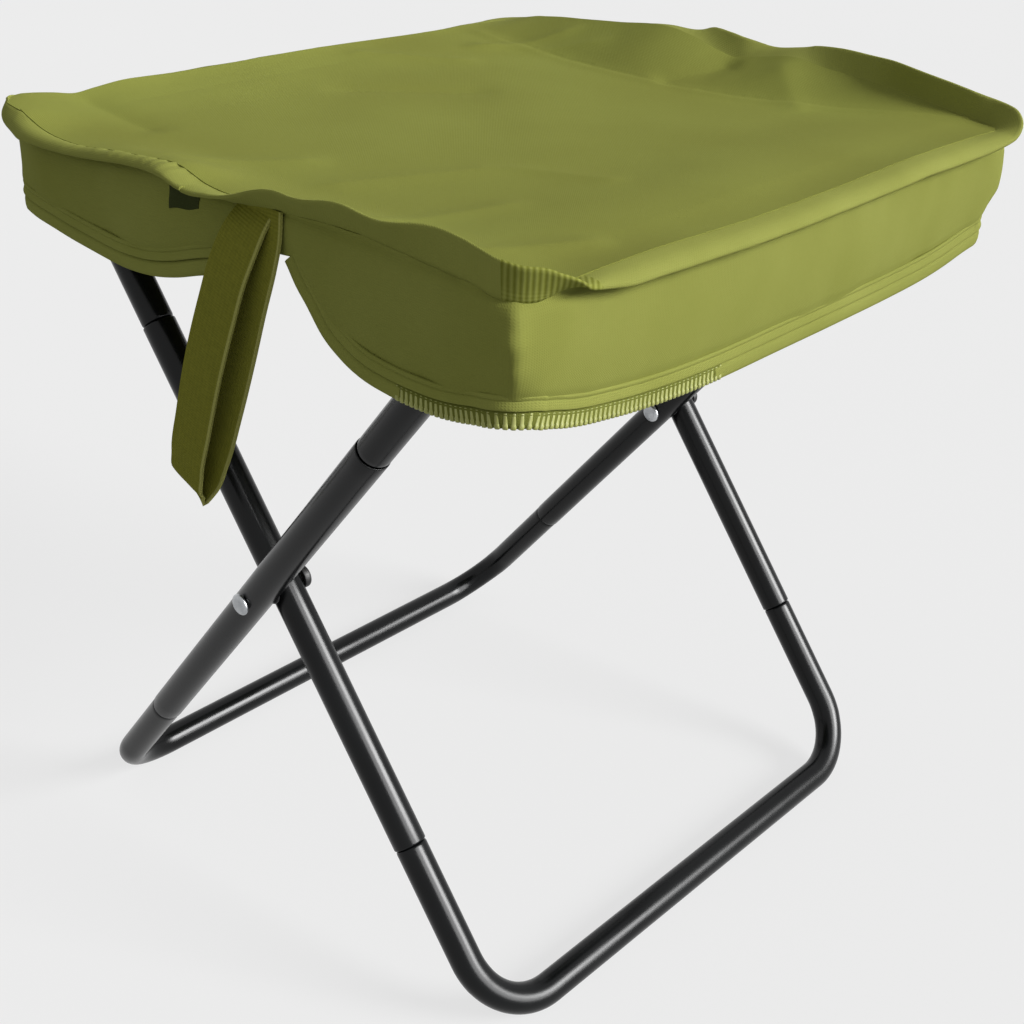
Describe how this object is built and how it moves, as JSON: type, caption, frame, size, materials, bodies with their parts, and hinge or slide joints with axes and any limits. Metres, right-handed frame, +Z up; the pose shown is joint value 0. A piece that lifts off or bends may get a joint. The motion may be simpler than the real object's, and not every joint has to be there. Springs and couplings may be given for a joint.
{
  "type": "folding stool",
  "caption": "Folding stool with crossed black tube frames and a sewn olive seat cover with zip-edged walls and a hanging carry strap.",
  "frame": {"origin": "on the floor under the middle of the seat, below the line through the two pivots", "axes": "+X across the two crossbars, towards the seat end that frame A carries; +Y along the crossbars, away from the carry strap; +Z up"},
  "size_m": [0.4204, 0.4279, 0.4773],
  "materials": {
    "frame_paint": "gloss black enamel on steel tube",
    "rivet_steel": "zinc plated",
    "black_nylon": "moulded nylon",
    "seat_cloth": "olive woven polyester, coated inside",
    "rim_tape": "olive ribbed binding tape",
    "zip_coil": "olive nylon coil on woven tape",
    "strap_webbing": "olive flat webbing",
    "slider_metal": "olive lacquer on die-cast zinc"
  },
  "bodies": {
    "frame_a": {"frame_a_top_loop": "frame_paint", "frame_a_bottom_loop": "frame_paint", "frame_a_near_sleeve": "frame_paint", "frame_a_far_sleeve": "frame_paint", "near_pivot_rivet": "rivet_steel", "far_pivot_rivet": "rivet_steel", "near_pivot_washer": "black_nylon", "far_pivot_washer": "black_nylon", "near_rivet_cap": "black_nylon", "far_rivet_cap": "black_nylon"},
    "frame_b": {"frame_b_top_loop": "frame_paint", "frame_b_bottom_loop": "frame_paint", "frame_b_near_sleeve": "frame_paint", "frame_b_far_sleeve": "frame_paint"},
    "seat_right": {"seat_panel_right": "seat_cloth", "end_wall_right": "seat_cloth", "near_wall_right": "seat_cloth", "far_wall_right": "seat_cloth", "crossbar_hem_right": "seat_cloth", "rim_binding_right": "rim_tape", "zip_chain_right": "zip_coil", "seat_fold_strip": "seat_cloth"},
    "seat_left": {"seat_panel_left": "seat_cloth", "end_wall_left": "seat_cloth", "near_wall_left": "seat_cloth", "far_wall_left": "seat_cloth", "crossbar_hem_left": "seat_cloth", "rim_binding_left": "rim_tape", "zip_chain_left": "zip_coil", "zip_slider": "slider_metal"},
    "carry_strap": {"carry_strap": "strap_webbing"},
    "slider_pull": {"zip_slider_pull": "slider_metal"}
  },
  "joints": [
    {"name": "frame_fold", "type": "hinge", "parent": "frame_a", "child": "frame_b", "pos_m": [0, 0, 0.22359], "axis": [0, 1, 0], "range_deg": [0, 56], "deforming": ["seat_fold_strip"]},
    {"name": "seat_right_turn", "type": "hinge", "parent": "frame_a", "child": "seat_right", "pos_m": [0.17194, 0, 0.43821], "axis": [0, 1, 0], "range_deg": [-47.5, 0]},
    {"name": "seat_left_turn", "type": "hinge", "parent": "frame_b", "child": "seat_left", "pos_m": [-0.17194, 0, 0.43821], "axis": [0, 1, 0], "range_deg": [0, 47.5]},
    {"name": "strap_swing", "type": "hinge", "parent": "seat_right", "child": "carry_strap", "pos_m": [0.04094, -0.201, 0.4568], "axis": [1, 0, 0], "range_deg": [-80, 0]},
    {"name": "pull_swing", "type": "hinge", "parent": "seat_left", "child": "slider_pull", "pos_m": [-0.11394, 0.2036, 0.39058], "axis": [1, 0, 0], "range_deg": [0, 150]}
  ],
  "couplings": [
    {"joint": "seat_right_turn", "follows": "frame_fold", "ratio": -0.84821},
    {"joint": "seat_left_turn", "follows": "frame_fold", "ratio": 0.84821}
  ]
}
